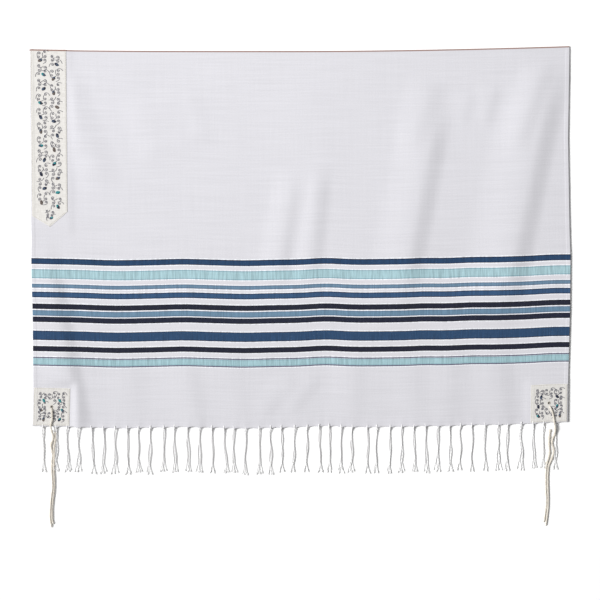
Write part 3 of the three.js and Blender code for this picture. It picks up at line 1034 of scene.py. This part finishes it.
def strand(threads, draw, root_x, layer):
    """A two-ply strand from the hem, that parts near its end into two knotted tips."""
    base = 1.9 if layer == "front" else 1.1
    reach = FRINGE_REACH - draw.uniform(1, 8)
    fork = reach - draw.uniform(12, 18)
    lean = draw.uniform(-4.5, 4.5)
    phase = draw.uniform(0, 6.3)
    wave = draw.uniform(0.7, 1.7)
    steps = int((fork + 6) / STRAND_STEP)
    d = np.linspace(-6, fork, steps)
    x = root_x + lean * (d / reach) ** 2 + wave * np.sin(d / draw.uniform(8, 13) + phase)
    x = x - (wave * np.sin(phase)) * np.exp(-np.maximum(d, 0) / 8)
    hem_z = 4.2 if layer == "front" else 1.4
    z = base + (hem_z - base) * (1 - smooth(-1, 12, d)) + 0.25 * np.sin(d / 9 + phase)
    path = place(x, HALF_LENGTH + d, z) / MM
    turn = 2 * math.pi * d / TWIST_LENGTH + phase
    for ply in (0, math.pi):
        line = around(path, PLY_OFFSET, turn + ply)
        line[:, 2] = np.maximum(line[:, 2], 0.68)
        threads.tube(line, PLY_RADIUS * (1 + 0.1 * np.sin(d / 5 + phase)), 6)
    root_ahead = np.array([0.0, -1.0, 0.0])
    threads.bead(path[int(ROOT_KNOT_AT / STRAND_STEP)], root_ahead, 2.2, 1.4)
    threads.bead(path[-2], root_ahead, 2.0, 1.45)
    for way in (-1, 1):
        e = np.linspace(0, reach - fork, 9)
        tip_x = x[-1] + way * (0.6 + draw.uniform(1.8, 4.2) * (e / e[-1]) ** 0.8)
        tip = place(tip_x, HALF_LENGTH + fork + e * draw.uniform(0.85, 1.0), base * 0.6 + 0.5) / MM
        threads.tube(tip, np.linspace(0.68, 0.6, 9), 6)
        ahead = tip[-1] - tip[-2]
        ahead /= np.linalg.norm(ahead)
        threads.bead(tip[-1], ahead, 2.0, 1.35)
        for k in range(3):
            flare = ahead + np.array([0.4 * (k - 1), 0.0, 0.0])
            threads.tube(tip[-1] + np.outer([0.5, 2.2, 3.6], flare), (0.5, 0.45, 0.3), 4)


def make_fringe(layer):
    draw = random.Random(layer)
    threads = Threads()
    shift = 0.0 if layer == "front" else 1.9
    for root in STRANDS:
        strand(threads, draw, root + shift * draw.choice((-1, 1)), layer)
    piece = threads.piece(f"{layer}_fringe_strands", FRINGE_YARN)
    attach(piece, "root")
    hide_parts(f"fringe_{layer}")
    return piece


# ---------------------------------------------------------------- the whole shawl

CLOTH = make_cloth()
FRINGES = [make_fringe("front"), make_fringe("back")]

NECKBAND_PIECE = make_neckband()
list(embroider_neckband())

for layer_name in ("front", "back"):
    for side_word in ("left", "right"):
        square = make_square(layer_name, side_word)
        list(embroider_square(layer_name, side_word))

# ---------------------------------------------------------------- floor and light

def make_floor():
    """A plain pale floor."""
    material, tree, shader = new_material("pale_matt_floor", Roughness=0.95)
    places = add_node(tree, "TexCoord").outputs["Object"]
    cloudy = add_node(tree, "TexNoise", {"Vector": places, "Scale": 3.0})
    tone = add_node(tree, "Mix", {MIX_SHARE: cloudy.outputs[0], MIX_A: linear("#F8F8F8"),
                                  MIX_B: linear("#FAFAFA")}, data_type="RGBA")
    tree.links.new(tone.outputs[MIX_COLOUR], shader.inputs["Base Color"])
    mesh = bpy.data.meshes.new("floor")
    reach, low = 6.0, -0.0004
    mesh.from_pydata([(-reach, -reach, low), (reach, -reach, low), (reach, reach, low),
                      (-reach, reach, low)], [], [(0, 1, 2, 3)])
    link_piece("floor", mesh, material)


SUN_ELEVATION = math.radians(44)
SUN_STRENGTH = 3.55
SKY_STRENGTH = 0.2
LAMP_POWER = 9.0


def make_light():
    """A broad soft light from the left, low enough to show the folds, and a pale room."""
    data = bpy.data.lights.new("window", "SUN")
    data.energy = SUN_STRENGTH
    data.angle = math.radians(18)
    sun = bpy.data.objects.new("window", data)
    bpy.context.scene.collection.objects.link(sun)
    sun.rotation_euler = (0, SUN_ELEVATION - math.pi / 2, math.radians(-8))
    data = bpy.data.lights.new("overhead", "AREA")
    data.energy = LAMP_POWER
    data.size = 1.0
    lamp = bpy.data.objects.new("overhead", data)
    bpy.context.scene.collection.objects.link(lamp)
    lamp.location = (-0.4, 0.6, 1.5)
    world = bpy.data.worlds.new("room")
    bpy.context.scene.world = world
    world.use_nodes = True
    sky = world.node_tree.nodes["Background"]
    sky.inputs["Color"].default_value = (1, 1, 1, 1)
    sky.inputs["Strength"].default_value = SKY_STRENGTH
    bpy.context.scene.view_settings.view_transform = "Standard"


make_floor()
make_light()
